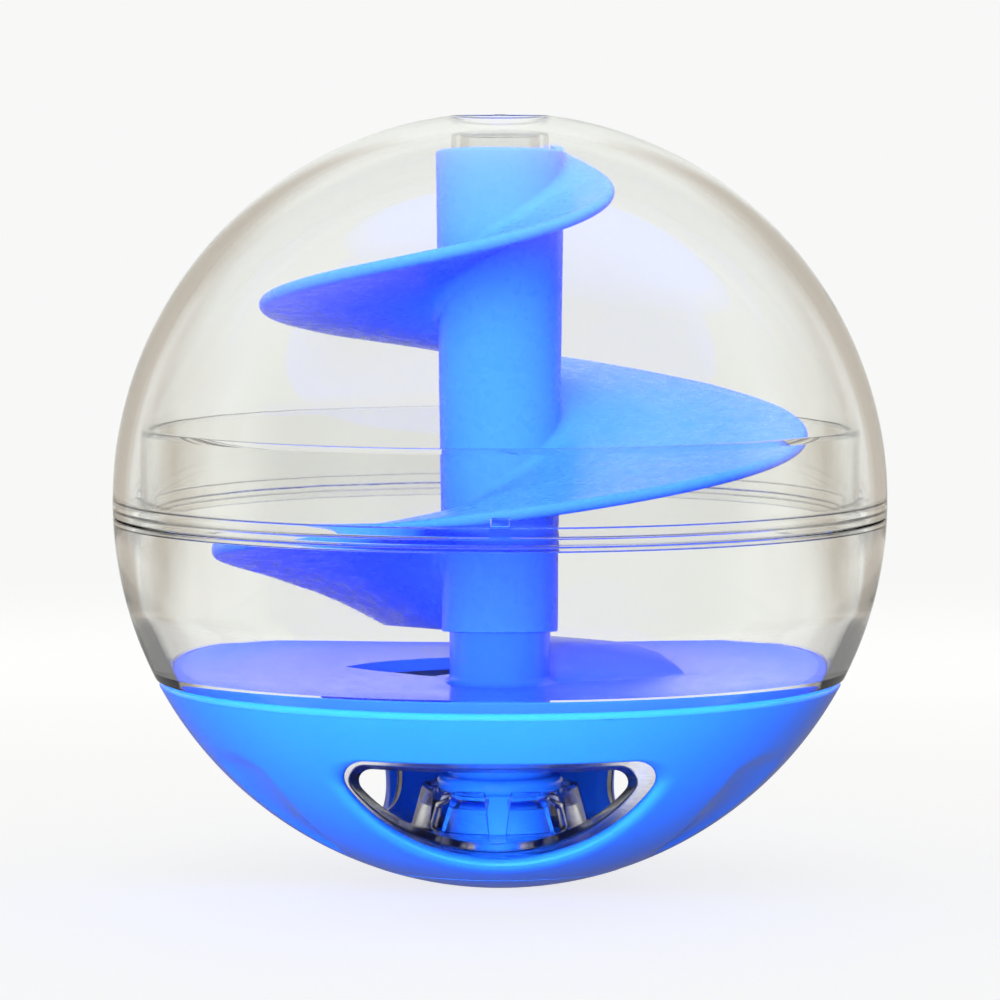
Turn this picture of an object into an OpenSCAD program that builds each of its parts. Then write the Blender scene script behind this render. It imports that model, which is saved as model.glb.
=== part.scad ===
// Clear treat-maze ball: a twist-off dome, a spiral tower over a dished floor,
// and a weighted base with three exit windows and a turning shutter bowl.
// Heights in the modules are measured from the ball's centre; the finished
// model stands on its small rest flat at z = 0, with a window toward -Y.

/* [Ball] */
// Outer diameter of the ball
ball_d = 110; // [109.6:0.1:110.4]
// Wall thickness of the dome
dome_wall = 2.4; // [2.2:0.1:2.6]
// Radius of the small flat that the ball rests on
rest_r = 8.5; // [7.5:0.25:9]
// Radius of the shallow recess in the crown of the dome
crown_recess_r = 6.8; // [5:0.1:7.5]

/* [Dome lock] */
// Inner radius of the locking ring inside the dome
lock_in_r = 51.2; // [51.1:0.05:51.3]
// Width of the entry notches in the locking ring
notch_w = 2.9; // [2.8:0.1:3.4]
// Width of the lugs on the collar
lug_w = 2.5; // [2:0.1:2.6]
// Turn from unlocked to locked
twist_deg = 20; // [15:1:25]

/* [Spiral tower] */
// Rise of the ramp in one turn
ramp_pitch = 36; // [35:0.2:36.4]
// Thickness of the ramp at the column
ramp_t = 2.6; // [2.2:0.1:3]
// Thickness of the ramp at its edge
ramp_edge_t = 1.7; // [1.4:0.1:2]
// Radius of the ramp's edge at each half turn, from the top down
ramp_edge_r = [14.3, 34.1, 43.5, 40.7];
// Outer radius of the column at its top
column_top_r = 9.1; // [8.8:0.1:9.3]
// Outer radius of the column at its bottom
column_bottom_r = 8.2; // [8.1:0.05:8.4]

/* [Floor] */
// Radius of the post that carries the tower
post_r = 7.18; // [7.1:0.02:7.2]
// Edge radius of the ramp moulded on the floor
floor_ramp_r = 27; // [24:0.5:30]
// Outer radius of the outlet in the floor
outlet_r = 26; // [22:0.5:30]

/* [Base] */
// Height of the base's top edge below the ball's centre
base_drop = 25.1; // [24.8:0.1:25.4]
// Number of exit windows
window_count = 3; // [1:3]
// Radius of the windows' round lower edge
window_r = 25; // [22:0.5:26]
// Height of a window from its lower edge to its flat top
window_h = 15.8; // [13:0.2:16]
// Radius of the windows' upper corners
window_corner_r = 3; // [2:0.25:4]

/* [Shutter] */
// Number of snap fingers round the central boss
finger_count = 8; // [6:1:10]
// How far the shutter stands turned from fully open
shutter_deg = 1.7; // [0:0.1:5]

/* [Hidden] */

$fn = 96;
eps = 0.01;
clear_plastic = [0.86, 0.92, 0.92, 0.35];
blue_plastic = [0.16, 0.55, 0.98];
steel = [0.62, 0.63, 0.65];

ball_r = ball_d / 2;
centre_z = sqrt(ball_r * ball_r - rest_r * rest_r);
dome_in_r = ball_r - dome_wall;
far = ball_d;

// seam between the dome and the lower shell
shell_top_z = -2.1;
dome_edge_z = -1.95;
lock_z = [-1.0, 0.2];
lug_z = [0.4, 1.6];
lug_tip_r = 52.0;
collar_r = [49.6, 50.95];
collar_flange_r = 51.9;
collar_z = [-2.9, 10.6];
collar_flange_top_z = -1.15;
lug_half_deg = asin(lug_w / 2 / collar_r[1]);
stop_w = 1.2;
stop_z = [0, 1.4];
stop_gap_deg = lug_half_deg + asin(stop_w / 2 / collar_r[1]) + 0.3;

// clear lower shell
shell_in_r = 52.4;
shell_cone_z = -14.2;
shell_cone_top_r = 51.6;
dish_seat_r = 47.2;
dish_seat_z = -22.9;

// tower
column_z = [-15.6, 49.6];
socket_r = post_r + 0.07;
socket_top_z = -6;
top_bore_r = 7.0;
top_bore_z = 45;
spigot_r = [top_bore_r - 1.3, top_bore_r - 0.07];
spigot_z = 47.2;
crown_recess_depth = 0.8;
gate_r = 1;
gate_z = ball_r - 0.25;
ramp_deg = [-632, 24];
ramp_steps = 90;
ramp_zero_z = 46.1;
ramp_root_r = 7.9;
ramp_edge_cut = 0.6;

// floor dish
dish_rim_r = 47.0;
dish_rim_z = [-24.95, -23.1];
dish_floor_z = -26.0;
dish_rise = [[30, 0.9], [42, 2.0]];
dish_t = 1.9;
post_top_z = -8;
pin_r = 4.5;
pin_bottom_z = -44;
floor_ramp_deg = [-722, -634];
outlet_deg = [100, 150];
outlet_z = [-40, -20];
outlet_in_r = 11;

// base
base_in_r = ball_r - 2.5;
plate_z = [-49.74, -48.34];
boss_r = 7.2;
boss_bore_r = 4.6;
boss_bore_z = -47;
boss_top_z = -28.05;
boss_collar_r = 9;
boss_collar_z = [-41.3, -39.1];
window_bottom_z = -48.3;
window_inner_r = 20;
ballast_pocket_r = 16.5;
cap_r = 18;
cap_top_z = -50.24;
cap_in_r = 53.2;
cap_rim_w = 1.7;

// shutter bowl
bowl_r = 52.2;
bowl_t = 1.7;
bowl_top_z = -30.3;
bowl_floor_z = [-47.9, -46.4];
bowl_window_inset = 1.2;
bowl_hole_r = 11;
finger_root_t = 1.7;
finger_top_r = [10.0, 11.2];
finger_top_z = -40.5;
finger_bead_r = 8.1;
finger_bead_z = [-43.2, -42.3, -41.7, -41.5];
finger_gap = [2.5, 3.8];
finger_gap_r = [7, 15];

// screw
screw_r = 1.6;
screw_head_r = 3.2;
screw_head_h = 1.9;
screw_top_z = -32;
screw_play = 0.05;
screw_slot = [1.5, 0.9, 1.1];

module at_centre() {
    translate([0, 0, centre_z])
        children();
}

// plain ring between two radii and two heights
module ring(r, z) {
    rotate_extrude()
        translate([r[0], z[0]])
            square([r[1] - r[0], z[1] - z[0]]);
}

module disc(r, z) {
    translate([0, 0, z[0]])
        cylinder(r = r, h = z[1] - z[0]);
}

module slab(z) {
    disc(far, z);
}

module shell(outer_r, inner_r, z) {
    intersection() {
        difference() {
            sphere(outer_r);
            sphere(inner_r);
        }
        slab(z);
    }
}

// small block standing out from a radius, centred on an angle
module block(angle, r, w, z) {
    rotate(angle)
        translate([r[0], -w / 2, z[0]])
            cube([r[1] - r[0], w, z[1] - z[0]]);
}

module quarter_turns() {
    for (quarter = [0:3])
        rotate(90 * quarter)
            children();
}

module dome() {
    color(clear_plastic)
        at_centre()
            difference() {
                union() {
                    shell(ball_r, dome_in_r, [dome_edge_z, far]);
                    ring([lock_in_r, dome_in_r + 0.5], lock_z);
                    ring(spigot_r, [spigot_z, dome_in_r + 0.2]);
                    disc(gate_r, [ball_r - 1, gate_z]);
                    quarter_turns() {
                        block(stop_gap_deg, [lock_in_r, dome_in_r + 0.4], stop_w, stop_z);
                        block(-twist_deg - stop_gap_deg, [lock_in_r, dome_in_r + 0.4], stop_w, stop_z);
                    }
                }
                ring([gate_r, crown_recess_r], [ball_r - crown_recess_depth, ball_r + 1]);
                quarter_turns()
                    block(0, [lock_in_r - 1, dome_in_r - 0.1], notch_w, [lock_z[0] - 1, lock_z[1] + 1]);
            }
}

module locking_collar() {
    color(clear_plastic)
        at_centre() {
            ring([collar_r[0], collar_flange_r], [collar_z[0], collar_flange_top_z]);
            ring(collar_r, [collar_flange_top_z - 0.5, collar_z[1]]);
            quarter_turns()
                block(0, [collar_r[0] + 0.5, lug_tip_r], lug_w, lug_z);
        }
}

module lower_shell() {
    color(clear_plastic)
        at_centre()
            difference() {
                intersection() {
                    sphere(ball_r);
                    slab([-base_drop + 0.1, shell_top_z]);
                }
                intersection() {
                    sphere(shell_in_r);
                    slab([-far, shell_cone_z + eps]);
                }
                translate([0, 0, shell_cone_z])
                    cylinder(
                        r1 = sqrt(shell_in_r * shell_in_r - shell_cone_z * shell_cone_z),
                        r2 = shell_cone_top_r,
                        h = collar_z[0] - 0.05 - shell_cone_z + eps
                    );
                disc(collar_flange_r + 0.05, [collar_z[0] - 0.05, 1]);
                disc(dish_seat_r, [-far / 2, dish_seat_z]);
            }
}

// Edge radius of the ramp: a smooth curve through the radii given at each half turn
function ramp_r(a) =
    let (
        u = -a / 180,
        r = ramp_edge_r,
        d1 = r[1] - r[0],
        d2 = r[2] - 2 * r[1] + r[0],
        d3 = r[3] - 3 * r[2] + 3 * r[1] - r[0]
    )
    r[0] + d1 * u + d2 * u * (u - 1) / 2 + d3 * u * (u - 1) * (u - 2) / 6;

// Height of the middle of the ramp's thickness
function ramp_z(a) = ramp_zero_z + ramp_pitch * a / 360;

// Sweeps a closed list of [radius, height] outlines round the axis, one for each angle
module sweep(angles, outlines) {
    n = len(outlines[0]);
    last = len(angles) - 1;
    points = [
        for (i = [0:last], p = outlines[i])
            [p[0] * cos(angles[i]), p[0] * sin(angles[i]), p[1]]
    ];
    sides = [
        for (i = [0:last - 1], k = [0:n - 1])
            [i * n + k, (i + 1) * n + k, (i + 1) * n + (k + 1) % n, i * n + (k + 1) % n]
    ];
    split = [for (s = sides) each [[s[0], s[1], s[2]], [s[0], s[2], s[3]]]];
    start = [for (k = [0:n - 1]) k];
    end = [for (k = [n - 1:-1:0]) last * n + k];
    polyhedron(points = points, faces = concat([start], split, [end]));
}

function ramp_outline(a) =
    let (z = ramp_z(a), edge = max(ramp_r(a), ramp_root_r + 1.2))
    [
        [ramp_root_r, z - ramp_t / 2],
        [ramp_root_r, z + ramp_t / 2],
        [edge - ramp_edge_cut, z + ramp_edge_t / 2],
        [edge, z],
        [edge - ramp_edge_cut, z - ramp_edge_t / 2]
    ];

module spiral_tower() {
    angles = [for (i = [0:ramp_steps]) ramp_deg[0] + (ramp_deg[1] - ramp_deg[0]) * i / ramp_steps];
    color(blue_plastic)
        at_centre() {
            difference() {
                translate([0, 0, column_z[0]])
                    cylinder(r1 = column_bottom_r, r2 = column_top_r, h = column_z[1] - column_z[0]);
                disc(socket_r, [column_z[0] - 1, socket_top_z]);
                translate([0, 0, socket_top_z - eps])
                    cylinder(
                        r1 = socket_r - 0.6,
                        r2 = top_bore_r - 0.4,
                        h = top_bore_z - socket_top_z + 2 * eps
                    );
                disc(top_bore_r, [top_bore_z, column_z[1] + 1]);
            }
            sweep(angles, [for (a = angles) ramp_outline(a)]);
        }
}

module outlet_cutter() {
    sector = outlet_deg[1] - outlet_deg[0];
    rotate([0, 0, outlet_deg[0]])
        rotate_extrude(angle = sector)
            translate([outlet_in_r, outlet_z[0]])
                square([outlet_r - outlet_in_r, outlet_z[1] - outlet_z[0]]);
}

module floor_dish() {
    angles = [for (a = [floor_ramp_deg[0]:8:floor_ramp_deg[1]]) a];
    under = dish_floor_z - 0.8;
    color(blue_plastic)
        at_centre() {
            difference() {
                union() {
                    rotate_extrude()
                        polygon([
                            [0, dish_floor_z - dish_t],
                            [0, dish_floor_z],
                            [post_r, dish_floor_z],
                            [dish_rise[0][0], dish_floor_z + dish_rise[0][1]],
                            [dish_rise[1][0], dish_floor_z + dish_rise[1][1]],
                            [dish_rim_r - 1.2, dish_rim_z[1]],
                            [dish_rim_r, dish_rim_z[1]],
                            [dish_rim_r, dish_rim_z[0]],
                            [dish_rim_r - 2.2, dish_rim_z[0]],
                            [dish_rise[1][0], dish_floor_z + dish_rise[1][1] - dish_t],
                            [dish_rise[0][0], dish_floor_z + dish_rise[0][1] - dish_t]
                        ]);
                    disc(pin_r, [pin_bottom_z, dish_floor_z - dish_t + 0.5]);
                }
                disc(screw_r + screw_play, [pin_bottom_z - 1, screw_top_z + 1]);
                outlet_cutter();
            }
            disc(post_r, [dish_floor_z - 0.5, post_top_z]);
            sweep(angles, [
                for (a = angles)
                    let (top = max(ramp_z(a), under + 0.9))
                    [[post_r - 1, under], [post_r - 1, top], [floor_ramp_r, top], [floor_ramp_r, under]]
            ]);
        }
}

// Outline of a window: flat top, round bottom and rounded upper corners
function arc(centre, r, a0, a1, steps) = [
    for (i = [0:steps])
        let (a = a0 + (a1 - a0) * i / steps)
        centre + r * [cos(a), sin(a)]
];

function window_outline(inset) =
    let (
        r = window_r - inset,
        c = window_bottom_z + window_r,
        corner = window_corner_r,
        top = window_bottom_z + window_h - inset,
        corner_z = top - corner,
        corner_x = sqrt((r - corner) * (r - corner) - (c - corner_z) * (c - corner_z)),
        lean = atan2(corner_z - c, corner_x)
    )
    concat(
        arc([0, c], r, -180 - lean, lean, 28),
        arc([corner_x, corner_z], corner, lean, 90, 6),
        arc([-corner_x, corner_z], corner, 90, 180 - lean, 6)
    );

module window_cutters(inset) {
    for (i = [0:window_count - 1])
        rotate([90, 0, 360 / window_count * i])
            linear_extrude(height = ball_r + 1)
                polygon(window_outline(inset));
}

module shutter_bowl() {
    slot_z = bowl_floor_z[1] - 0.1;
    slot_h = finger_top_z - slot_z;
    color(clear_plastic)
        at_centre()
            rotate(-shutter_deg) {
                difference() {
                    union() {
                        shell(bowl_r, bowl_r - bowl_t, [bowl_floor_z[0], bowl_top_z]);
                        intersection() {
                            sphere(bowl_r - bowl_t / 2);
                            slab(bowl_floor_z);
                        }
                    }
                    window_cutters(bowl_window_inset);
                    disc(bowl_hole_r, [-far / 2, 0]);
                }
                difference() {
                    rotate_extrude()
                        polygon([
                            [bowl_hole_r, bowl_floor_z[0]],
                            [bowl_hole_r + finger_root_t, bowl_floor_z[0]],
                            [bowl_hole_r + finger_root_t, bowl_floor_z[1]],
                            [finger_top_r[1], finger_top_z],
                            [finger_top_r[0], finger_top_z],
                            [finger_top_r[0] + 0.1, finger_bead_z[3]],
                            [finger_bead_r, finger_bead_z[2]],
                            [finger_bead_r, finger_bead_z[1]],
                            [finger_top_r[0] + 0.3, finger_bead_z[0]],
                            [bowl_hole_r, bowl_floor_z[1]]
                        ]);
                    for (i = [0:finger_count - 1])
                        rotate([90, 0, 360 / finger_count * i])
                            translate([0, 0, finger_gap_r[0]])
                                linear_extrude(height = finger_gap_r[1] - finger_gap_r[0])
                                    polygon([
                                        [-finger_gap[0] / 2, slot_z],
                                        [finger_gap[0] / 2, slot_z],
                                        [finger_gap[1] / 2, slot_z + slot_h + 1],
                                        [-finger_gap[1] / 2, slot_z + slot_h + 1]
                                    ]);
                }
            }
}

module base_shell() {
    color(blue_plastic)
        at_centre()
            difference() {
                union() {
                    shell(ball_r, base_in_r, [-far, -base_drop]);
                    intersection() {
                        sphere(ball_r - 1);
                        slab([-far, plate_z[1]]);
                    }
                    disc(boss_r, [plate_z[1] - 0.5, boss_top_z]);
                    disc(boss_collar_r, boss_collar_z);
                }
                difference() {
                    window_cutters(0);
                    disc(window_inner_r, [-far / 2, 0]);
                }
                disc(cap_r + 0.05, [-far, cap_top_z + 0.1]);
                disc(ballast_pocket_r, [-far, plate_z[0]]);
                disc(boss_bore_r, [boss_bore_z, 0]);
                disc(screw_r + 0.2, [-far, 0]);
            }
}

module bottom_cap() {
    color(blue_plastic)
        at_centre()
            difference() {
                intersection() {
                    sphere(ball_r);
                    disc(cap_r, [-centre_z, cap_top_z]);
                }
                intersection() {
                    sphere(cap_in_r);
                    disc(cap_r - cap_rim_w, [-far / 2, 0]);
                }
            }
}

module ballast_disc() {
    color(steel)
        at_centre()
            difference() {
                intersection() {
                    sphere(cap_in_r - 0.3, $fn = 240);
                    disc(ballast_pocket_r - 0.6, [-far / 2, plate_z[0] - 0.2]);
                }
                disc(screw_head_r + 0.8, [-far / 2, 0]);
            }
}

module centre_screw() {
    head_z = plate_z[0] - screw_head_h;
    color(steel)
        at_centre()
            difference() {
                union() {
                    disc(screw_head_r, [head_z, plate_z[0] - 0.02]);
                    disc(screw_r, [plate_z[0] - 0.5, screw_top_z]);
                }
                quarter_turns()
                    block(0, [-0.5, screw_slot[0]], screw_slot[1], [head_z - 1, head_z + screw_slot[2]]);
            }
}

dome();
locking_collar();
lower_shell();
spiral_tower();
floor_dish();
shutter_bowl();
base_shell();
ballast_disc();
bottom_cap();
centre_screw();
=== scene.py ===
import math

import bmesh
import bpy
import numpy as np
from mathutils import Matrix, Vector


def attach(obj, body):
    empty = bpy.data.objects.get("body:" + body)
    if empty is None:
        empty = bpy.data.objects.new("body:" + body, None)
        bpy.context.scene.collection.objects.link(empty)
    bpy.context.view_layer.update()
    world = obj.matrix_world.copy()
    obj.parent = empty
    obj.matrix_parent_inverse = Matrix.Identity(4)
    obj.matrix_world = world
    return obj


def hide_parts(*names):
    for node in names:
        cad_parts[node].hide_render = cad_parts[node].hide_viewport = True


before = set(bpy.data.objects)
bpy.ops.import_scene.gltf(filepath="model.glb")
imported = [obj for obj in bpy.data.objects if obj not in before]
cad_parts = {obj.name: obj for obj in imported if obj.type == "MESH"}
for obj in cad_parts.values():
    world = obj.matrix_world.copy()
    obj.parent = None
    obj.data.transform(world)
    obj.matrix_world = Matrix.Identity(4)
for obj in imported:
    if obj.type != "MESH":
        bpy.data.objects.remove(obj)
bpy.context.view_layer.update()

# ---------------------------------------------------------------- sizes
# Lengths are in millimetres and heights are measured from the ball's centre, unless a name ends in _M.
MM = 0.001
CAD_BALL_R = 55.0
BALL_R = 54.97  # a hair inside the CAD ball, so that the facets stay within its box
REST_R = 8.5
CENTRE_Z = math.sqrt(CAD_BALL_R ** 2 - REST_R ** 2)

DOME_IN_R = BALL_R - 2.4
DOME_EDGE_Z = -1.95
RECESS_R = 6.8
RECESS_Z = BALL_R - 0.8
GATE_R = 1.0
GATE_Z = BALL_R - 0.3
SPIGOT_R = (5.7, 6.93)
SPIGOT_Z = 47.2
LOCK_R = 51.2
LOCK_Z = (-1.0, 0.2)
NOTCH_W = 2.9
LUG_W = 2.5
LUG_R = (50.0, 52.0)
LUG_Z = (0.4, 1.6)

COLLAR_R = (49.6, 50.95)
COLLAR_Z = (-2.9, 10.6)
COLLAR_LEAD = (0.15, 0.8)
FLANGE_R = 51.9
FLANGE_Z = -1.15

SHELL_TOP_Z = -2.1
SHELL_BOTTOM_Z = -25.0
SHELL_IN_R = 52.4
SHELL_CONE_Z = -14.2
SHELL_CONE_TOP_R = 51.6
SHELL_SEAT_R = 51.95
SHELL_SEAT_Z = -2.95
DISH_SEAT_R = 47.2
DISH_SEAT_Z = -22.9

COLUMN_R = (8.2, 9.1)
COLUMN_Z = (-15.6, 49.6)
SOCKET_R = 7.25
SOCKET_Z = -6.0
TOP_BORE_R = 7.0
TOP_BORE_Z = 45.0
RAMP_PITCH = 36.0
RAMP_ZERO_Z = 46.1
RAMP_T = (2.6, 1.7)
RAMP_EDGE_R = (14.3, 34.1, 43.5, 40.7)
RAMP_DEG = (-632.0, 24.0)
RAMP_ROOT_R = 7.9
RAMP_FILLET = 1.8

DISH_RIM_R = 47.0
DISH_RIM_Z = (-24.95, -23.1)
DISH_FLOOR_Z = -26.0
DISH_RISE = ((20.0, 0.35), (30.0, 0.9), (38.0, 1.55), (43.0, 2.2))
DISH_T = 1.9
POST_R = 7.18
POST_TOP_Z = -8.0
PIN_R = 4.5
PIN_Z = -44.0
FLOOR_RAMP_DEG = (-722.0, -634.0)
FLOOR_RAMP_R = 27.0
OUTLET_DEG = (100.0, 150.0)
OUTLET_R = (11.0, 26.0)
OUTLET_Z = (-32.0, -22.0)

BASE_IN_R = BALL_R - 2.5
BASE_TOP_Z = -25.1
BASE_RIM_ROUND = 0.9
BASE_SKIN_LOW_Z = -51.0
PLATE_Z = (-49.74, -48.34)
BOSS_R = 7.2
BOSS_TOP_Z = -28.05
BOSS_BORE_R = 4.6
BOSS_BORE_Z = -47.0
BOSS_COLLAR_R = 9.0
BOSS_COLLAR_Z = (-41.3, -39.1)
POCKET_R = 16.5
CAP_HOLE_R = 18.05
CAP_HOLE_Z = -50.14
WINDOWS = 3
WINDOW_R = 25.0
WINDOW_H = 15.8
WINDOW_Z = -48.3
WINDOW_CORNER_R = 3.0
GROOVE_LAT = (-37.5, -63.5)
GROOVE_SHAPE = ((0.0, 0.1, 0.4, 0.75, 1.0), (4.0, 9.3, 9.6, 6.5, 3.0))
GROOVE_DEPTH = 0.7

BOWL_R = (50.5, 52.2)
BOWL_TOP_Z = -30.3
BOWL_FLOOR_Z = (-47.9, -46.4)
BOWL_HOLE_R = 11.0
BOWL_DEG = -1.7
FINGERS = 8
FINGER_WIDTHS = (6.9, 5.0)
FINGER_MEAN_R = 11.8
FINGER_ROOT_T = 1.7
FINGER_TOP_R = (10.0, 11.2)
FINGER_TOP_Z = -40.5
FINGER_BEAD_R = 8.1
FINGER_BEAD_Z = (-43.2, -42.3, -41.7, -41.5)

TURN_STEPS = 240
RAMP_STEPS = 360


# ---------------------------------------------------------------- mesh tools
def add_object(name, points, faces, sharp_deg=35.0):
    """A closed mesh object from points in millimetres about the ball's centre."""
    bm = bmesh.new()
    verts = [bm.verts.new((x * MM, y * MM, (z + CENTRE_Z) * MM)) for x, y, z in points]
    for face in faces:
        if len(set(face)) >= 3:
            bm.faces.new([verts[i] for i in dict.fromkeys(face)])
    bmesh.ops.remove_doubles(bm, verts=bm.verts, dist=1e-7)
    bmesh.ops.dissolve_degenerate(bm, edges=bm.edges, dist=1e-8)
    loose = [v for v in bm.verts if not v.link_faces]
    bmesh.ops.delete(bm, geom=loose, context="VERTS")
    bmesh.ops.recalc_face_normals(bm, faces=bm.faces)
    mesh = bpy.data.meshes.new(name)
    bm.to_mesh(mesh)
    bm.free()
    smooth(mesh, sharp_deg)
    obj = bpy.data.objects.new(name, mesh)
    bpy.context.scene.collection.objects.link(obj)
    return obj


def smooth(mesh, sharp_deg=35.0):
    mesh.shade_smooth()
    mesh.set_sharp_from_angle(angle=math.radians(sharp_deg))


def arc(radius, z_start, z_end, steps, centre_z=0.0):
    """Points (r, z) on a circle about the axis, from one height to another."""
    a0 = math.asin((z_start - centre_z) / radius)
    a1 = math.asin((z_end - centre_z) / radius)
    angles = np.linspace(a0, a1, steps + 1)
    return [(radius * math.cos(a), centre_z + radius * math.sin(a)) for a in angles]


def on_sphere(radius, z):
    return math.sqrt(radius * radius - z * z)


def fillet(points, steps=4):
    """Rounds the corners of a closed outline. A point is (r, z) or (r, z, corner radius)."""
    out = []
    count = len(points)
    for i, point in enumerate(points):
        if len(point) == 2 or point[2] <= 0:
            out.append((point[0], point[1]))
            continue
        here = Vector(point[:2])
        before = (Vector(points[i - 1][:2]) - here).normalized()
        after = (Vector(points[(i + 1) % count][:2]) - here).normalized()
        half = before.angle(after) / 2
        if half < 0.05 or half > math.pi / 2 - 0.02:
            out.append((point[0], point[1]))
            continue
        reach = point[2] / math.tan(half)
        centre = here + (before + after).normalized() * point[2] / math.sin(half)
        start = here + before * reach - centre
        end = here + after * reach - centre
        turn = start.angle_signed(end)
        for k in range(steps + 1):
            a = -turn * k / steps
            out.append((
                centre.x + start.x * math.cos(a) - start.y * math.sin(a),
                centre.y + start.x * math.sin(a) + start.y * math.cos(a),
            ))
    return out


def open_fillet(points, steps=4):
    """Rounds the inner corners of an open run of points."""
    return [points[0][:2]] + fillet(points, steps)[1:-1] + [points[-1][:2]]


def refine(outline, longest=1.0, end=0.1):
    """Splits a closed outline's long sides, so that roundings at their ends don't bend their shading."""
    out = []
    for i, point in enumerate(outline):
        here, after = Vector(point), Vector(outline[(i + 1) % len(outline)])
        length = (after - here).length
        out.append(point)
        if length > longest:
            steps = math.ceil(length / longest)
            marks = [end] + [length * k / steps for k in range(1, steps)] + [length - end]
            out += [tuple(here.lerp(after, mark / length)) for mark in marks]
    return out


def lathe(name, outline, steps=TURN_STEPS, sharp_deg=35.0):
    """Turns a closed (r, z) outline about the axis."""
    count = len(outline)
    points = []
    for i in range(steps):
        a = 2 * math.pi * i / steps
        points += [(r * math.cos(a), r * math.sin(a), z) for r, z in outline]
    faces = []
    for i in range(steps):
        j = (i + 1) % steps
        for k in range(count):
            m = (k + 1) % count
            if outline[k][0] < 1e-6 and outline[m][0] < 1e-6:
                continue
            faces.append((i * count + k, j * count + k, j * count + m, i * count + m))
    return add_object(name, points, faces, sharp_deg)


def loft(name, loops, closed_ends=True, sharp_deg=35.0):
    """Joins closed loops of 3-D points, one after the other."""
    count = len(loops[0])
    points = [p for loop in loops for p in loop]
    faces = []
    for i in range(len(loops) - 1):
        for k in range(count):
            m = (k + 1) % count
            faces.append((i * count + k, i * count + m, (i + 1) * count + m, (i + 1) * count + k))
    if closed_ends:
        faces.append(tuple(range(count)))
        faces.append(tuple((len(loops) - 1) * count + k for k in reversed(range(count))))
    return add_object(name, points, faces, sharp_deg)


def block(angle_deg, r, width, z, bevel=0.0):
    """A small box standing out from a radius, as a cutter or a lug."""
    a = math.radians(angle_deg)
    along = np.array([math.cos(a), math.sin(a)])
    across = np.array([-math.sin(a), math.cos(a)])
    loops = []
    for height in z:
        corners = [(r[0], -width / 2), (r[1], -width / 2), (r[1], width / 2), (r[0], width / 2)]
        loops.append([(*(along * p + across * q), height) for p, q in corners])
    obj = loft("tool", loops)
    if bevel:
        bevel_edges(obj, bevel)
    return obj


def apply_modifiers(obj):
    graph = bpy.context.evaluated_depsgraph_get()
    mesh = bpy.data.meshes.new_from_object(obj.evaluated_get(graph))
    obj.modifiers.clear()
    old = obj.data
    obj.data = mesh
    mesh.name = obj.name
    bpy.data.meshes.remove(old)


def bevel_edges(obj, width, segments=3, angle_deg=40.0):
    mod = obj.modifiers.new("bevel", "BEVEL")
    mod.width = width * MM
    mod.segments = segments
    mod.limit_method = "ANGLE"
    mod.angle_limit = math.radians(angle_deg)
    mod.use_clamp_overlap = True
    apply_modifiers(obj)


def combine(obj, tools, operation, sharp_deg=35.0):
    """Adds tools to obj, or cuts them from it, and removes them."""
    for tool in tools:
        mod = obj.modifiers.new("combine", "BOOLEAN")
        mod.object = tool
        mod.operation = operation
        mod.solver = "EXACT"
        apply_modifiers(obj)
        bpy.data.objects.remove(tool)
    smooth(obj.data, sharp_deg)
    return obj


# ---------------------------------------------------------------- clear shells
def make_dome():
    outline = arc(BALL_R, DOME_EDGE_Z + 0.25, on_sphere(BALL_R, RECESS_R + 0.15), 96)
    outline += [
        (RECESS_R, on_sphere(BALL_R, RECESS_R) - 0.12),
        (RECESS_R - 0.1, RECESS_Z, 0.25),
        (GATE_R, RECESS_Z, 0.1),
        (GATE_R, GATE_Z, 0.2),
        (0, GATE_Z),
    ]
    outline += arc(DOME_IN_R, DOME_IN_R, on_sphere(DOME_IN_R, SPIGOT_R[0]), 6)
    outline += [
        (SPIGOT_R[0], SPIGOT_Z, 0.3),
        (SPIGOT_R[1], SPIGOT_Z, 0.3),
    ]
    outline += arc(DOME_IN_R, on_sphere(DOME_IN_R, SPIGOT_R[1]), LOCK_Z[1] + 0.6, 90)
    outline += [
        (on_sphere(DOME_IN_R, LOCK_Z[1]), LOCK_Z[1], 0.2),
        (LOCK_R, LOCK_Z[1], 0.15),
        (LOCK_R, LOCK_Z[0], 0.15),
        (on_sphere(DOME_IN_R, LOCK_Z[0]), LOCK_Z[0], 0.15),
        (on_sphere(DOME_IN_R, DOME_EDGE_Z), DOME_EDGE_Z, 0.15),
        (on_sphere(BALL_R, DOME_EDGE_Z), DOME_EDGE_Z, 0.2),
    ]
    dome = lathe("dome_clear", refine(fillet(outline)))
    quarters = [90 * i for i in range(4)]
    notch_r = (LOCK_R - 1, DOME_IN_R - 0.1)
    notch_z = (LOCK_Z[0] - 0.5, LOCK_Z[1] + 0.5)
    notches = [block(a, notch_r, NOTCH_W, notch_z) for a in quarters]
    combine(dome, notches, "DIFFERENCE")
    return dome


def make_collar():
    outline = fillet([
        (COLLAR_R[0], COLLAR_Z[0], 0.2),
        (FLANGE_R, COLLAR_Z[0], 0.2),
        (FLANGE_R, FLANGE_Z, 0.2),
        (COLLAR_R[1], FLANGE_Z, 0.15),
        (COLLAR_R[1], COLLAR_Z[1] - COLLAR_LEAD[1], 0.3),
        (COLLAR_R[1] - COLLAR_LEAD[0], COLLAR_Z[1], 0.1),
        (COLLAR_R[0], COLLAR_Z[1], 0.1),
    ])
    collar = lathe("locking_collar_clear", refine(outline))
    lugs = [block(90 * i, LUG_R, LUG_W, LUG_Z, 0.2) for i in range(4)]
    return combine(collar, lugs, "UNION")


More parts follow.
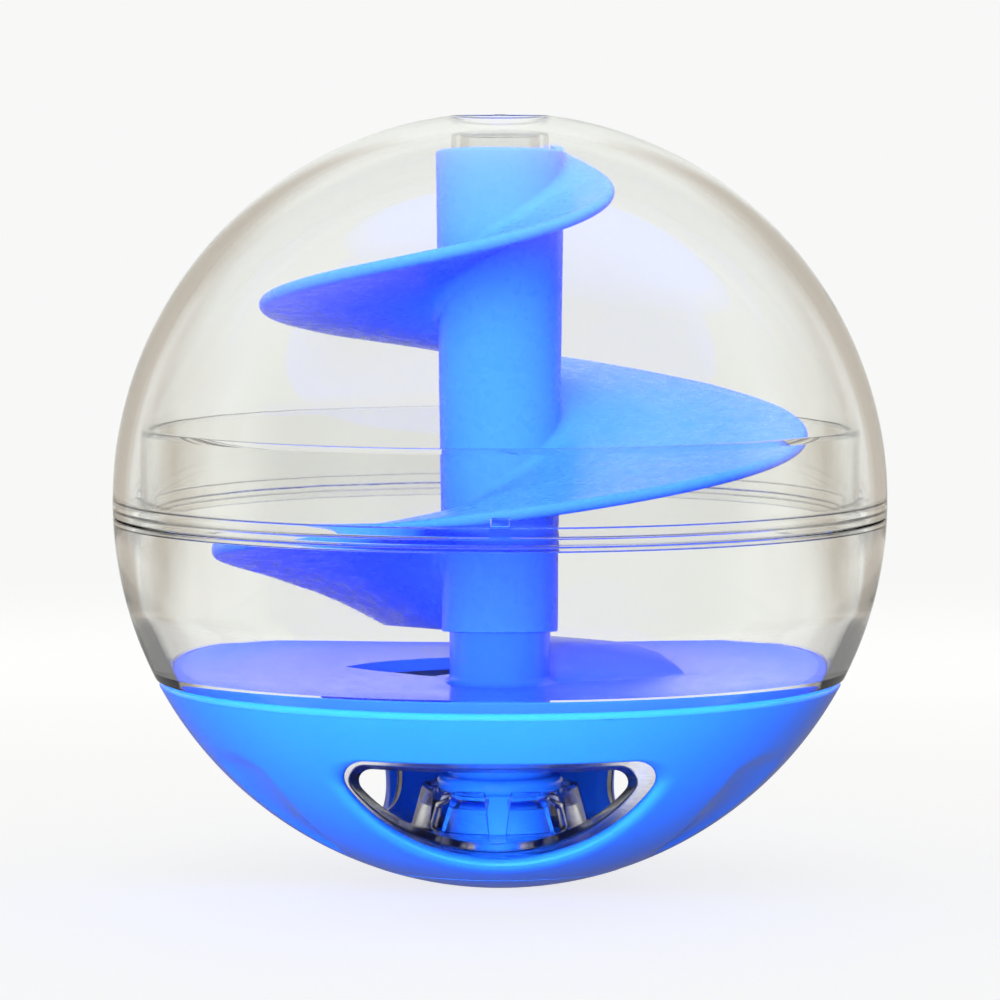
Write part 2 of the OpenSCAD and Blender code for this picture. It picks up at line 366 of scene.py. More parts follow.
def make_lower_shell():
    outline = arc(BALL_R, SHELL_BOTTOM_Z + 0.4, SHELL_TOP_Z - 0.4, 40)
    outline += [
        (on_sphere(BALL_R, SHELL_TOP_Z), SHELL_TOP_Z, 0.22),
        (SHELL_SEAT_R, SHELL_TOP_Z, 0.15),
        (SHELL_SEAT_R, SHELL_SEAT_Z, 0.1),
        (SHELL_CONE_TOP_R, SHELL_SEAT_Z, 0.1),
        (on_sphere(SHELL_IN_R, SHELL_CONE_Z), SHELL_CONE_Z, 14.0),
    ]
    outline += arc(SHELL_IN_R, SHELL_CONE_Z - 2.0, DISH_SEAT_Z + 0.02, 16)
    outline += [
        (DISH_SEAT_R, DISH_SEAT_Z),
        (DISH_SEAT_R, SHELL_BOTTOM_Z, 0.2),
        (on_sphere(BALL_R, SHELL_BOTTOM_Z), SHELL_BOTTOM_Z, 0.25),
    ]
    return lathe("lower_shell_clear", refine(fillet(outline, 8)), sharp_deg=20.0)


# ---------------------------------------------------------------- tower
def ramp_height(deg):
    return RAMP_ZERO_Z + RAMP_PITCH * deg / 360


def ramp_edge(deg):
    """A smooth curve through the edge radii given at each half turn."""
    u = -deg / 180
    r = RAMP_EDGE_R
    d1 = r[1] - r[0]
    d2 = r[2] - 2 * r[1] + r[0]
    d3 = r[3] - 3 * r[2] + 3 * r[1] - r[0]
    return r[0] + d1 * u + d2 * u * (u - 1) / 2 + d3 * u * (u - 1) * (u - 2) / 6


def column_radius(z):
    share = (z - COLUMN_Z[0]) / (COLUMN_Z[1] - COLUMN_Z[0])
    return COLUMN_R[0] + (COLUMN_R[1] - COLUMN_R[0]) * min(max(share, 0), 1)


def ramp_section(deg, edge_r):
    """The ramp's closed outline at one angle, tapering to a rounded edge, with a fillet to the column."""
    middle = ramp_height(deg)
    root = column_radius(middle)
    edge = max(edge_r, root + 0.6)
    reach = min(RAMP_FILLET, (edge - root) * 0.5)
    half_root, half_edge = RAMP_T[0] / 2, RAMP_T[1] / 2
    rounding = min(half_edge, (edge - root) * 0.4)
    lean = (half_root - half_edge) / (edge - root)
    upper = [(RAMP_ROOT_R, half_root + reach)]
    for k in range(6):
        a = math.pi / 2 * k / 5
        upper.append((root + reach * (1 - math.cos(a)), half_root + reach * (1 - math.sin(a))))
    for k in range(1, 9):
        r = root + reach + (edge - rounding - root - reach) * k / 8
        upper.append((r, half_root - lean * (r - root)))
    for k in range(1, 5):
        a = math.pi / 2 * (1 - k / 4)
        upper.append((edge - rounding + rounding * math.cos(a), half_edge * math.sin(a)))
    lower = [(r, -z) for r, z in reversed(upper[:-1])]
    return [(r, middle + z) for r, z in upper + lower]


def turned(section, deg):
    a = math.radians(deg)
    return [(r * math.cos(a), r * math.sin(a), z) for r, z in section]


def make_tower():
    outline = fillet([
        (SOCKET_R, COLUMN_Z[0], 0.15),
        (COLUMN_R[0], COLUMN_Z[0], 0.3),
        (COLUMN_R[1], COLUMN_Z[1], 0.5),
        (TOP_BORE_R, COLUMN_Z[1], 0.3),
        (TOP_BORE_R, TOP_BORE_Z),
        (TOP_BORE_R - 0.4, TOP_BORE_Z),
        (SOCKET_R - 0.6, SOCKET_Z),
        (SOCKET_R, SOCKET_Z),
    ])
    column = lathe("spiral_tower_blue", outline, steps=128)
    angles = np.linspace(RAMP_DEG[0], RAMP_DEG[1], RAMP_STEPS + 1)
    loops = [turned(ramp_section(a, ramp_edge(a)), a) for a in angles]
    ramp = loft("ramp", loops)
    return combine(column, [ramp], "UNION")


# ---------------------------------------------------------------- floor dish
def make_dish():
    outline = fillet([
        (0, POST_TOP_Z),
        (POST_R, POST_TOP_Z, 0.8),
        (POST_R, DISH_FLOOR_Z, 1.2),
        *[(r, DISH_FLOOR_Z + rise) for r, rise in DISH_RISE],
        (DISH_RIM_R - 1.4, DISH_RIM_Z[1], 0.5),
        (DISH_RIM_R, DISH_RIM_Z[1], 0.3),
        (DISH_RIM_R, DISH_RIM_Z[0], 0.15),
        (DISH_RIM_R - 2.2, DISH_RIM_Z[0], 0.3),
        *[(r, DISH_FLOOR_Z + rise - DISH_T) for r, rise in DISH_RISE[2:0:-1]],
        (PIN_R, DISH_FLOOR_Z - DISH_T + 0.2, 0.3),
        (PIN_R, PIN_Z, 0.4),
        (0, PIN_Z),
    ])
    dish = lathe("floor_dish_blue", outline, steps=192)
    under = DISH_FLOOR_Z - 0.8
    loops = []
    for a in np.linspace(FLOOR_RAMP_DEG[0], FLOOR_RAMP_DEG[1], 48):
        top = max(ramp_height(a), under + 0.9)
        section = fillet([
            (POST_R - 1, under),
            (POST_R - 1, top),
            (FLOOR_RAMP_R, top, min(1.2, (top - under) * 0.4)),
            (FLOOR_RAMP_R, under),
        ])
        loops.append(turned(section, a))
    combine(dish, [loft("floor_ramp", loops)], "UNION")
    opening = [
        (OUTLET_R[0], OUTLET_Z[0]),
        (OUTLET_R[1], OUTLET_Z[0]),
        (OUTLET_R[1], OUTLET_Z[1]),
        (OUTLET_R[0], OUTLET_Z[1]),
    ]
    sector = [turned(opening, a) for a in np.linspace(OUTLET_DEG[0], OUTLET_DEG[1], 24)]
    return combine(dish, [loft("outlet", sector)], "DIFFERENCE")


# ---------------------------------------------------------------- windowed bowls
def window_outline(inset, per_side):
    """The window seen square on: points (x, z), clockwise from the upper left corner.

    per_side gives how many steps the top, the right, the bottom and the left take."""
    r = WINDOW_R - inset
    mid = WINDOW_Z + WINDOW_R
    corner = WINDOW_CORNER_R - inset * 0.5
    top = WINDOW_Z + WINDOW_H - inset
    corner_z = top - corner
    corner_x = math.sqrt((r - corner) ** 2 - (mid - corner_z) ** 2)
    lean = math.atan2(corner_z - mid, corner_x)
    half = []
    for k in range(13):
        a = math.pi / 2 + (lean - math.pi / 2) * k / 12
        half.append((corner_x + corner * math.cos(a), corner_z + corner * math.sin(a)))
    for k in range(1, 61):
        a = lean + (-math.pi / 2 - lean) * k / 60
        half.append((r * math.cos(a), mid + r * math.sin(a)))
    half = np.array(half)
    run = np.concatenate([[0], np.cumsum(np.hypot(*np.diff(half, axis=0).T))])
    side_end = run[-1] * 0.52
    side = np.linspace(0, side_end, per_side[1] + 1)
    low = np.linspace(side_end, run[-1], per_side[2] // 2 + 1)
    marks = np.concatenate([side, low[1:]])
    right = np.stack([np.interp(marks, run, half[:, 0]), np.interp(marks, run, half[:, 1])], axis=1)
    flat = np.linspace(-corner_x, corner_x, per_side[0] + 1)
    upper = np.stack([flat, np.full_like(flat, top)], axis=1)
    left = right[::-1] * [-1, 1]
    return np.concatenate([upper[:-1], right[:-1], left[:-1]])


def sector_border(radius, z_top, z_bottom, per_side):
    """The edge of one window's sector of a bowl as (azimuth, elevation), matched to window_outline."""
    half = math.pi / WINDOWS
    top, low = math.asin(z_top / radius), math.asin(z_bottom / radius)
    across = np.linspace(-half, half, per_side[0] + 1)
    down = np.linspace(top, low, per_side[1] + 1)
    back = across[::-1]
    return np.concatenate([
        np.stack([across, np.full_like(across, top)], axis=1)[:-1],
        np.stack([np.full_like(down, half), down], axis=1)[:-1],
        np.stack([back, np.full_like(back, low)], axis=1)[:-1],
        np.stack([np.full_like(down, -half), down[::-1]], axis=1)[:-1],
    ])


def window_points(outline, radius):
    """Places (x, z) points on a sphere, seen from the front: azimuth 0 is the window's middle."""
    radius = np.broadcast_to(radius, len(outline))
    x, z = outline[:, 0], outline[:, 1]
    depth = np.sqrt(radius ** 2 - x ** 2 - z ** 2)
    return np.stack([np.arctan2(x, depth), np.arcsin(z / radius), radius], axis=1)


SIDES = (72, 36, 72, 36)


def lip_share():
    """How rounded each outline point is: little along the flat top, fully along the round edge."""
    share = np.ones(sum(SIDES))
    share[: SIDES[0] + 1] = 0.0
    ramp = 14
    for k in range(ramp):
        ease = (1 - math.cos(math.pi * (k + 1) / ramp)) / 2
        share[SIDES[0] + 1 + k] = ease
        share[-1 - k] = ease
    return share


def skin(radius, z_top, z_bottom, insets, lip, lip_top, rings, dent=None):
    """Loops (azimuth, elevation, radius) from a window's edge out to its sector's border.

    insets shifts the window's outline; lip is the rounding's size, signed by the side it is on."""
    share = lip_share()
    size = lip_top + (abs(lip) - lip_top) * share
    plain = window_outline(insets, SIDES)
    grown = window_outline(insets - 1.0, SIDES)
    step = grown - plain
    loops = []
    lip_steps = 7
    for k in range(lip_steps + 1):
        a = math.pi / 2 * k / lip_steps
        spread = (1 - math.cos(a)) * size
        drop = (1 - math.sin(a)) * size * math.copysign(1, lip)
        loops.append(window_points(plain + step * spread[:, None], radius - drop))
    edge = loops[-1][:, :2]
    border = sector_border(radius, z_top, z_bottom, SIDES)
    for k in range(1, rings + 1):
        t = k / rings
        ease = t * (0.55 + 0.45 * t)
        where = edge + (border - edge) * ease
        height = np.full(len(where), float(radius))
        if dent is not None:
            height = height - dent(where[:, 0], where[:, 1])
        loops.append(np.column_stack([where, height]))
    return loops


def place(loop, sector, turn_deg=0.0):
    """Loop points to x, y, z, with azimuth 0 towards -Y and sectors counted about the axis."""
    a = loop[:, 0] + math.radians(360 / WINDOWS * sector - 90 + turn_deg)
    flat = loop[:, 2] * np.cos(loop[:, 1])
    return np.stack([flat * np.cos(a), flat * np.sin(a), loop[:, 2] * np.sin(loop[:, 1])], axis=1)


def windowed_bowl(name, outer, inner, floor, rim, turn_deg=0.0, sharp_deg=35.0):
    """A bowl with windows. outer and inner are skins of one sector. floor and rim are (r, z) points
    that close it below and above, from the outer skin's border to the inner skin's; floor may be cut
    into several runs that each start or end on the axis."""
    points, faces = [], []

    def strip(loop_a, loop_b):
        start = len(points)
        count = len(loop_a)
        points.extend(map(tuple, loop_a))
        points.extend(map(tuple, loop_b))
        for k in range(count):
            m = (k + 1) % count
            faces.append((start + k, start + m, start + count + m, start + count + k))

    for sector in range(WINDOWS):
        rows = [place(p, sector, turn_deg) for p in outer[::-1] + inner]
        for a, b in zip(rows[:-1], rows[1:]):
            strip(a, b)
    steps = SIDES[0] * WINDOWS
    turns = np.arange(steps) * 2 * math.pi / steps + math.radians(turn_deg - 90 - 180 / WINDOWS)
    for profile in floor + [rim]:
        rings = []
        for r, z in profile:
            ring = np.stack([r * np.cos(turns), r * np.sin(turns), np.full_like(turns, z)], axis=1)
            rings.append(ring)
        for a, b in zip(rings[:-1], rings[1:]):
            strip(a, b)
    return add_object(name, points, faces, sharp_deg)


def groove(azimuth, elevation):
    """Depth of the leaf-shaped grooves at the borders between sectors."""
    lat = np.degrees(elevation)
    off = np.abs(np.abs(np.degrees(azimuth)) - 180 / WINDOWS)
    along = np.clip((GROOVE_LAT[0] - lat) / (GROOVE_LAT[0] - GROOVE_LAT[1]), 0, 1)
    width = np.interp(along, GROOVE_SHAPE[0], GROOVE_SHAPE[1])
    across = np.clip(off / np.maximum(width, 0.01), 0, 1)
    return GROOVE_DEPTH * (1 - across ** 2) * np.clip(np.minimum(along, 1 - along) * 8, 0, 1)


def make_base():
    rim_z = BASE_TOP_Z - BASE_RIM_ROUND
    outer = skin(BALL_R, rim_z, BASE_SKIN_LOW_Z, 0.0, 2.1, 0.35, 34, groove)
    inner = skin(BASE_IN_R, rim_z, PLATE_Z[1], 0.0, -0.25, 0.2, 18)
    floor = arc(BALL_R, BASE_SKIN_LOW_Z, -on_sphere(BALL_R, CAP_HOLE_R + 0.15), 4)
    floor += [
        (CAP_HOLE_R, -on_sphere(BALL_R, CAP_HOLE_R) + 0.15),
        (CAP_HOLE_R, CAP_HOLE_Z, 0.1),
        (POCKET_R, CAP_HOLE_Z, 0.1),
        (POCKET_R, PLATE_Z[0], 0.3),
        (0, PLATE_Z[0]),
    ]
    floor = open_fillet(floor)
    boss = open_fillet([
        (0, BOSS_BORE_Z),
        (BOSS_BORE_R, BOSS_BORE_Z, 0.2),
        (BOSS_BORE_R, BOSS_TOP_Z, 0.3),
        (BOSS_R, BOSS_TOP_Z, 0.4),
        (BOSS_R, BOSS_COLLAR_Z[1], 0.6),
        (BOSS_COLLAR_R, BOSS_COLLAR_Z[1], 0.9),
        (BOSS_COLLAR_R, BOSS_COLLAR_Z[0], 0.7),
        (BOSS_R, BOSS_COLLAR_Z[0], 0.4),
        (BOSS_R, PLATE_Z[1], 1.0),
        (on_sphere(BASE_IN_R, PLATE_Z[1]), PLATE_Z[1]),
    ])
    rim = open_fillet([
        (on_sphere(BALL_R, rim_z), rim_z),
        (on_sphere(BALL_R, BASE_TOP_Z), BASE_TOP_Z, BASE_RIM_ROUND * 0.8),
        (on_sphere(BASE_IN_R, rim_z) + 0.3, BASE_TOP_Z, 0.2),
        (on_sphere(BASE_IN_R, rim_z), rim_z),
    ])
    return windowed_bowl("base_shell_blue", outer, inner, [floor, boss], rim)


def make_fingers():
    """The crown of snap fingers: each leans inwards, narrows upwards and has a bead inside."""
    section = fillet([
        (BOWL_HOLE_R + 0.45, BOWL_FLOOR_Z[0] + 0.2),
        (BOWL_HOLE_R + FINGER_ROOT_T, BOWL_FLOOR_Z[0] + 0.2),
        (BOWL_HOLE_R + FINGER_ROOT_T, BOWL_FLOOR_Z[1], 0.6),
        (FINGER_TOP_R[1], FINGER_TOP_Z, 0.4),
        (FINGER_TOP_R[0], FINGER_TOP_Z, 0.4),
        (FINGER_TOP_R[0] + 0.1, FINGER_BEAD_Z[3], 0.3),
        (FINGER_BEAD_R, FINGER_BEAD_Z[2], 0.25),
        (FINGER_BEAD_R, FINGER_BEAD_Z[1], 0.25),
        (FINGER_TOP_R[0] + 0.3, FINGER_BEAD_Z[0], 0.4),
        (BOWL_HOLE_R + 0.3, BOWL_FLOOR_Z[1] + 0.1),
    ])
    fingers = []
    for i in range(FINGERS):
        middle = 360 / FINGERS * (i + 0.5) + BOWL_DEG
        loops = []
        for u in np.linspace(-1, 1, 9):
            loop = []
            for r, z in section:
                share = min(max((z - BOWL_FLOOR_Z[1]) / (FINGER_TOP_Z - BOWL_FLOOR_Z[1]), 0), 1)
                width = FINGER_WIDTHS[0] + (FINGER_WIDTHS[1] - FINGER_WIDTHS[0]) * share
                a = math.radians(middle) + u * width / 2 / FINGER_MEAN_R
                loop.append((r * math.cos(a), r * math.sin(a), z))
            loops.append(loop)
        fingers.append(loft("finger", loops))
    return fingers


def make_bowl():
    outer = skin(BOWL_R[1], BOWL_TOP_Z, BOWL_FLOOR_Z[0], 1.2, 0.35, 0.3, 20)
    inner = skin(BOWL_R[0], BOWL_TOP_Z, BOWL_FLOOR_Z[1], 1.9, -0.35, 0.3, 20)
    floor = open_fillet([
        (on_sphere(BOWL_R[1], BOWL_FLOOR_Z[0]), BOWL_FLOOR_Z[0]),
        (BOWL_HOLE_R, BOWL_FLOOR_Z[0], 0.3),
        (BOWL_HOLE_R, BOWL_FLOOR_Z[1], 0.3),
        (on_sphere(BOWL_R[0], BOWL_FLOOR_Z[1]), BOWL_FLOOR_Z[1]),
    ])
    rim_r = (on_sphere(BOWL_R[1], BOWL_TOP_Z), on_sphere(BOWL_R[0], BOWL_TOP_Z))
    rim = open_fillet([
        (rim_r[0], BOWL_TOP_Z),
        (rim_r[0], BOWL_TOP_Z + 0.5, 0.4),
        (rim_r[1], BOWL_TOP_Z + 0.5, 0.4),
        (rim_r[1], BOWL_TOP_Z),
    ])
    bowl = windowed_bowl("shutter_bowl_clear", outer, inner, [floor], rim, BOWL_DEG)
    return combine(bowl, make_fingers(), "UNION")


# ---------------------------------------------------------------- materials
def new_material(name):
    material = bpy.data.materials.new(name)
    material.use_nodes = True
    nodes = material.node_tree.nodes
    return material, nodes, material.node_tree.links, nodes["Principled BSDF"]


def add_noise(nodes, links, scale, detail, stretch=(1, 1, 1)):
    """Noise in object space, in features per metre."""
    coords = nodes.new("ShaderNodeTexCoord")
    mapping = nodes.new("ShaderNodeMapping")
    mapping.inputs["Scale"].default_value = stretch
    noise = nodes.new("ShaderNodeTexNoise")
    noise.inputs["Scale"].default_value = scale
    noise.inputs["Detail"].default_value = detail
    links.new(coords.outputs["Object"], mapping.inputs["Vector"])
    links.new(mapping.outputs["Vector"], noise.inputs["Vector"])
    return noise


def add_ramp(nodes, links, source, stops):
    """Colour ramp from a value; stops are (position, colour)."""
    ramp = nodes.new("ShaderNodeValToRGB")
    links.new(source, ramp.inputs["Fac"])
    ramp.color_ramp.elements[0].position, ramp.color_ramp.elements[0].color = stops[0]
    ramp.color_ramp.elements[1].position, ramp.color_ramp.elements[1].color = stops[-1]
    for position, colour in stops[1:-1]:
        ramp.color_ramp.elements.new(position).color = colour
    return ramp


def grey(value):
    return (value, value, value, 1)


def roughen(nodes, links, shader, noise, span, roughness):
    """Roughness that follows noise, from one value to another over the span of the noise."""
    stops = [(at, grey(value)) for at, value in zip(span, roughness)]
    ramp = add_ramp(nodes, links, noise.outputs["Fac"], stops)
    links.new(ramp.outputs["Color"], shader.inputs["Roughness"])


def add_bump(nodes, links, shader, noise, strength, distance_m):
    bump = nodes.new("ShaderNodeBump")
    bump.inputs["Strength"].default_value = strength
    bump.inputs["Distance"].default_value = distance_m
    links.new(noise.outputs["Fac"], bump.inputs["Height"])
    links.new(bump.outputs["Normal"], shader.inputs["Normal"])


def clear_material(name, tint, lamp_tint, roughness):
    """Clear moulded plastic with fine wear, which lets lamps through to what is inside."""
    material, nodes, links, shader = new_material(name)
    shader.inputs["Base Color"].default_value = (*tint, 1)
    shader.inputs["IOR"].default_value = 1.5
    shader.inputs["Transmission Weight"].default_value = 1.0
    wear = add_noise(nodes, links, 900, 6, (1, 1, 6))
    roughen(nodes, links, shader, wear, (0.45, 0.75), roughness)
    flow = add_noise(nodes, links, 45, 2)
    add_bump(nodes, links, shader, flow, 0.05, 0.0008)
    lamps = nodes.new("ShaderNodeBsdfTransparent")
    lamps.inputs["Color"].default_value = (*lamp_tint, 1)
    path = nodes.new("ShaderNodeLightPath")
    mix = nodes.new("ShaderNodeMixShader")
    links.new(path.outputs["Is Shadow Ray"], mix.inputs["Fac"])
    links.new(shader.outputs["BSDF"], mix.inputs[1])
    links.new(lamps.outputs["BSDF"], mix.inputs[2])
    links.new(mix.outputs["Shader"], nodes["Material Output"].inputs["Surface"])
    return material


def blue_material(name, deep, pale, roughness, grain, shine):
    """Blue moulded plastic: slight flow marks in its colour, fine grain and light inside thin edges.

    grain is the strength of its fine bump and shine that of its mirrored light."""
    material, nodes, links, shader = new_material(name)
    flow = add_noise(nodes, links, 26, 3, (1, 1, 0.5))
    colour = add_ramp(nodes, links, flow.outputs["Fac"], [(0.25, (*deep, 1)), (0.75, (*pale, 1))])
    links.new(colour.outputs["Color"], shader.inputs["Base Color"])
    wear = add_noise(nodes, links, 420, 8)
    roughen(nodes, links, shader, wear, (0.4, 0.75), roughness)
    texture = add_noise(nodes, links, 1600, 4)
    add_bump(nodes, links, shader, texture, grain, 0.0002)
    shader.inputs["IOR"].default_value = 1.5
    shader.inputs["Specular IOR Level"].default_value = shine
    shader.inputs["Subsurface Weight"].default_value = 0.35
    shader.inputs["Subsurface Radius"].default_value = (0.2, 0.6, 1.0)
    shader.inputs["Subsurface Scale"].default_value = 0.0015
    return material


def metal_material(name, colour, roughness):
    material, nodes, links, shader = new_material(name)
    shader.inputs["Metallic"].default_value = 1.0
    cast = add_noise(nodes, links, 300, 8)
    dull = tuple(0.75 * channel for channel in colour)
    tone = add_ramp(nodes, links, cast.outputs["Fac"], [(0.3, (*dull, 1)), (0.7, (*colour, 1))])
    links.new(tone.outputs["Color"], shader.inputs["Base Color"])
    roughen(nodes, links, shader, cast, (0.35, 0.7), roughness)
    add_bump(nodes, links, shader, cast, 0.3, 0.0001)
    return material


def finish_piece(piece, node, body, material):
    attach(piece, body)
    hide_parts(node)
    piece.data.materials.clear()
    piece.data.materials.append(material)
    return piece


clear = clear_material("clear_polystyrene", (0.985, 0.985, 0.975), (0.93, 0.93, 0.92), (0.0, 0.06))
clear_bowl = clear_material("clear_polypropylene", (0.975, 0.98, 0.985), (0.95, 0.96, 0.97), (0.12, 0.26))
tower_blue = blue_material(
    "tower_blue",
    deep=(0.020, 0.112, 0.88),
    pale=(0.024, 0.122, 0.90),
    roughness=(0.25, 0.4),
    grain=0.07,
    shine=0.25,
)
dish_blue = blue_material(
    "dish_blue",
    deep=(0.010, 0.075, 0.88),
    pale=(0.014, 0.085, 0.92),
    roughness=(0.12, 0.25),
    grain=0.06,
    shine=0.35,
)
base_blue = blue_material(
    "base_blue",
    deep=(0.012, 0.135, 0.90),
    pale=(0.016, 0.15, 0.93),
    roughness=(0.1, 0.2),
    grain=0.04,
    shine=0.5,
)
ballast_iron = metal_material("ballast_iron", (0.42, 0.41, 0.4), (0.45, 0.7))
screw_steel = metal_material("screw_steel", (0.66, 0.66, 0.67), (0.18, 0.35))

pieces = [
    finish_piece(make_dome(), "dome", "lid", clear),
    finish_piece(make_collar(), "locking_collar", "base", clear),
    finish_piece(make_lower_shell(), "lower_shell", "base", clear),
    finish_piece(make_tower(), "spiral_tower", "tower", tower_blue),
    finish_piece(make_dish(), "floor_dish", "base", dish_blue),
    finish_piece(make_base(), "base_shell", "base", base_blue),
    finish_piece(make_bowl(), "shutter_bowl", "shutter", clear_bowl),
]
cad_looks = {"bottom_cap": base_blue, "ballast_disc": ballast_iron, "centre_screw": screw_steel}
for node, material in cad_looks.items():
    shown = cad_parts[node]
    shown.data.materials.clear()
    shown.data.materials.append(material)
    pieces.append(shown)


# ---------------------------------------------------------------- stage
BACKDROP = (0.939, 0.939, 0.935)
ROOM_LIGHT = (0.94, 0.955, 0.915)
ROOM_SHADE = (0.58, 0.53, 0.46)
ROOM_FILL = 0.33  # the room's strength for light off matt surfaces
ROOM_FRONT_DIMMING = 0.85
ROOM_PANELS = 8.0
FLOOR_R_M = 0.9
FLOOR_FADE_M = (0.12, 0.5)
FLOOR_GLOW = (0.84, 0.17)  # as seen, and for light that has bounced
LAMP_SPREAD = 0.8
CAMERA_ELEVATION_DEG = 4.4
CAMERA_DISTANCE = 15.0  # in ball radii
CAMERA_BALL_SHARE = 0.3878  # the ball's radius as a share of the picture's width
LIGHTS = (
    ("front", (-0.2, -0.93, 0.3), 16),
    ("above", (0.1, -0.3, 0.95), 9),
    ("rear", (0.35, 0.85, 0.6), 4),
)


def add_math(nodes, links, operation, *values):
    """A maths node; each value is a number or another node's output."""
    node = nodes.new("ShaderNodeMath")
    node.operation = operation
    for slot, value in zip(node.inputs, values):
        if isinstance(value, float):
            slot.default_value = value
        else:
            links.new(value, slot)
    return node


def add_range(nodes, links, source, span, result, easing="LINEAR"):
    """Maps source from span to result, and holds it at the ends."""
    node = nodes.new("ShaderNodeMapRange")
    node.interpolation_type = easing
    node.inputs["From Min"].default_value, node.inputs["From Max"].default_value = span
    node.inputs["To Min"].default_value, node.inputs["To Max"].default_value = result
    links.new(source, node.inputs["Value"])
    return node.outputs["Result"]


def light_path(nodes, output):
    return nodes.new("ShaderNodeLightPath").outputs[output]


def make_floor():
    """A pale floor that fades into the backdrop a little way out.

    It glows, and less so for light that has left a matt or a mirroring surface."""
    steps = 96
    turns = [2 * math.pi * i / steps for i in range(steps)]
    rim = [(FLOOR_R_M * math.cos(a), FLOOR_R_M * math.sin(a), 0) for a in turns]
    mesh = bpy.data.meshes.new("floor")
    mesh.from_pydata(rim, [], [tuple(range(steps))])
    floor = bpy.data.objects.new("floor", mesh)
    bpy.context.scene.collection.objects.link(floor)
    material, nodes, links, shader = new_material("floor_white")
    shader.inputs["Base Color"].default_value = (0.3, 0.3, 0.3, 1)
    shader.inputs["Roughness"].default_value = 0.9
    shader.inputs["Emission Color"].default_value = (*BACKDROP, 1)
    matt, mirrored = light_path(nodes, "Diffuse Depth"), light_path(nodes, "Glossy Depth")
    bounces = add_math(nodes, links, "ADD", matt, mirrored).outputs["Value"]
    glow = add_range(nodes, links, bounces, (0, 1), FLOOR_GLOW)
    links.new(glow, shader.inputs["Emission Strength"])
    coords = nodes.new("ShaderNodeTexCoord")
    length = nodes.new("ShaderNodeVectorMath")
    length.operation = "LENGTH"
    links.new(coords.outputs["Object"], length.inputs[0])
    beyond = nodes.new("ShaderNodeBsdfTransparent")
    mix = nodes.new("ShaderNodeMixShader")
    fade = add_range(nodes, links, length.outputs["Value"], FLOOR_FADE_M, (0, 1), "SMOOTHSTEP")
    links.new(fade, mix.inputs["Fac"])
    links.new(shader.outputs["BSDF"], mix.inputs[1])
    links.new(beyond.outputs["BSDF"], mix.inputs[2])
    links.new(mix.outputs["Shader"], nodes["Material Output"].inputs["Surface"])
    mesh.materials.append(material)


def make_lights():
    """Broad lamps that light the object and not the floor, which is pale already."""
    lit = bpy.data.collections.new("lit_by_lamps")
    for piece in pieces:
        lit.objects.link(piece)
    target = Vector((0, 0, CENTRE_Z * MM))
    for name, place_m, strength in LIGHTS:
        data = bpy.data.lights.new(name, "SUN")
        data.energy = strength
        data.angle = LAMP_SPREAD
        light = bpy.data.objects.new(name, data)
        light.location = place_m
        light.rotation_euler = (target - Vector(place_m)).to_track_quat("-Z", "Y").to_euler()
        light.visible_glossy = False
        light.visible_transmission = False
        light.light_linking.receiver_collection = lit
        bpy.context.scene.collection.objects.link(light)


def make_camera():
    elevation = math.radians(CAMERA_ELEVATION_DEG)
    distance = CAMERA_DISTANCE * BALL_R * MM
    target = Vector((0, 0, CENTRE_Z * MM))
    data = bpy.data.cameras.new("camera")
    data.sensor_width = 36.0
    data.lens = data.sensor_width * CAMERA_BALL_SHARE / math.tan(math.asin(1 / CAMERA_DISTANCE))
    data.clip_start = 0.01
    camera = bpy.data.objects.new("camera", data)
    camera.location = target + distance * Vector((0, -math.cos(elevation), math.sin(elevation)))
    camera.rotation_euler = (target - camera.location).to_track_quat("-Z", "Y").to_euler()
    bpy.context.scene.collection.objects.link(camera)
    bpy.context.scene.camera = camera


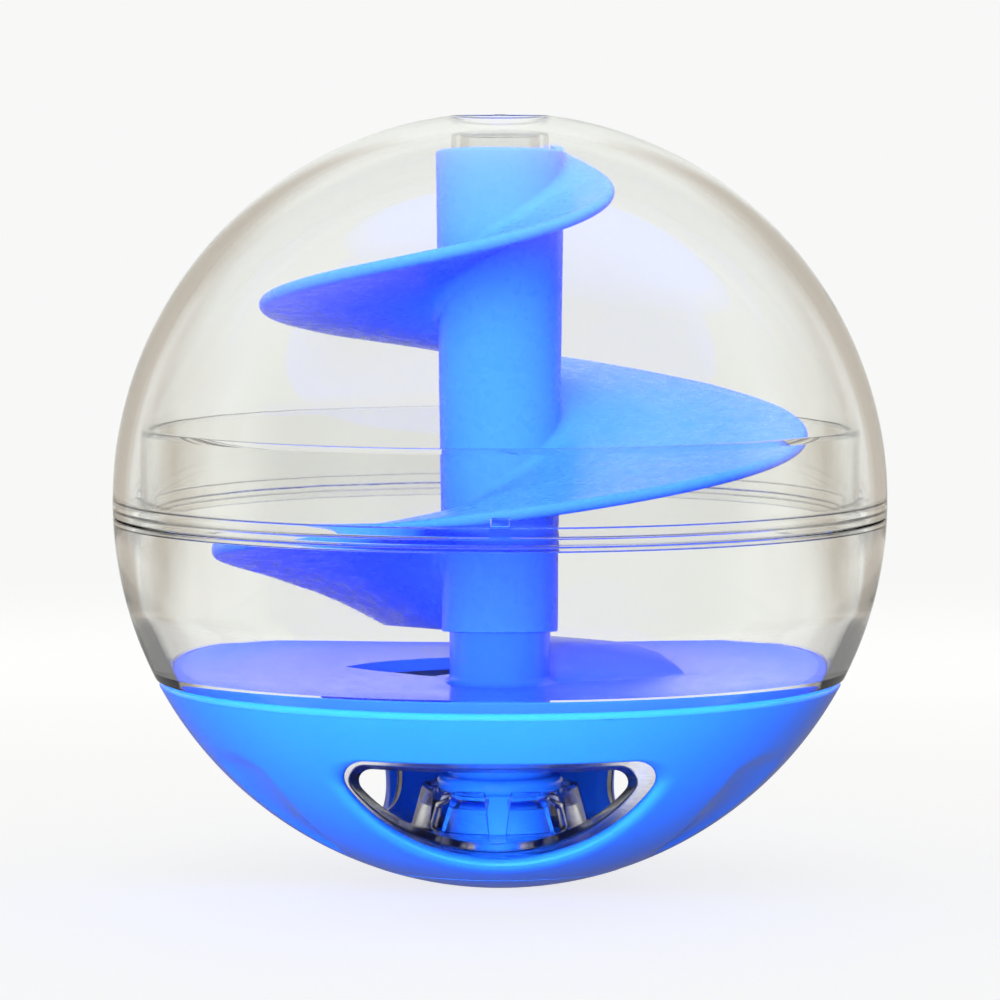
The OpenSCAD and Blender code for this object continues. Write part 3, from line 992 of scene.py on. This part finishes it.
def make_world():
    """A plain pale backdrop, in a room of light panels with warm grey gaps between them.

    Mirrored light from the camera's side is dimmed, so that the dome doesn't haze over what is in it."""
    world = bpy.data.worlds.new("studio")
    world.use_nodes = True
    nodes, links = world.node_tree.nodes, world.node_tree.links
    coords = nodes.new("ShaderNodeTexCoord")
    split = nodes.new("ShaderNodeSeparateXYZ")
    links.new(coords.outputs["Generated"], split.inputs["Vector"])
    azimuth = add_math(nodes, links, "ARCTAN2", split.outputs["Y"], split.outputs["X"]).outputs["Value"]
    repeated = add_math(nodes, links, "MULTIPLY", azimuth, ROOM_PANELS).outputs["Value"]
    wave = add_math(nodes, links, "COSINE", repeated).outputs["Value"]
    panels = add_range(nodes, links, wave, (-0.35, 0.5), (0, 1), "SMOOTHSTEP")
    ceiling = add_range(nodes, links, split.outputs["Z"], (0.25, 0.6), (0, 1), "SMOOTHSTEP")
    bright = add_math(nodes, links, "MAXIMUM", panels, ceiling).outputs["Value"]
    room = add_ramp(nodes, links, bright, [(0.0, (*ROOM_SHADE, 1)), (1.0, (*ROOM_LIGHT, 1))])
    power = add_range(nodes, links, light_path(nodes, "Diffuse Depth"), (0, 1), (1, ROOM_FILL))
    mirrored = add_range(nodes, links, light_path(nodes, "Glossy Depth"), (0, 1), (0, 1))
    front_span = (-0.35, 0.25)
    front_result = (ROOM_FRONT_DIMMING, 0)
    front = add_range(nodes, links, split.outputs["Y"], front_span, front_result, "SMOOTHSTEP")
    dimming = add_math(nodes, links, "MULTIPLY", mirrored, front).outputs["Value"]
    strength = add_math(nodes, links, "SUBTRACT", power, dimming)
    strength.use_clamp = True
    around = nodes["Background"]
    links.new(room.outputs["Color"], around.inputs["Color"])
    links.new(strength.outputs["Value"], around.inputs["Strength"])
    backdrop = nodes.new("ShaderNodeBackground")
    backdrop.inputs["Color"].default_value = (*BACKDROP, 1)
    mix = nodes.new("ShaderNodeMixShader")
    links.new(light_path(nodes, "Is Camera Ray"), mix.inputs["Fac"])
    links.new(around.outputs["Background"], mix.inputs[1])
    links.new(backdrop.outputs["Background"], mix.inputs[2])
    links.new(mix.outputs["Shader"], nodes["World Output"].inputs["Surface"])
    bpy.context.scene.world = world


make_world()
make_floor()
make_camera()
make_lights()
bpy.context.scene.view_settings.view_transform = "Standard"
cycles = bpy.context.scene.cycles
cycles.max_bounces = 24
cycles.transmission_bounces = 24
cycles.transparent_max_bounces = 24
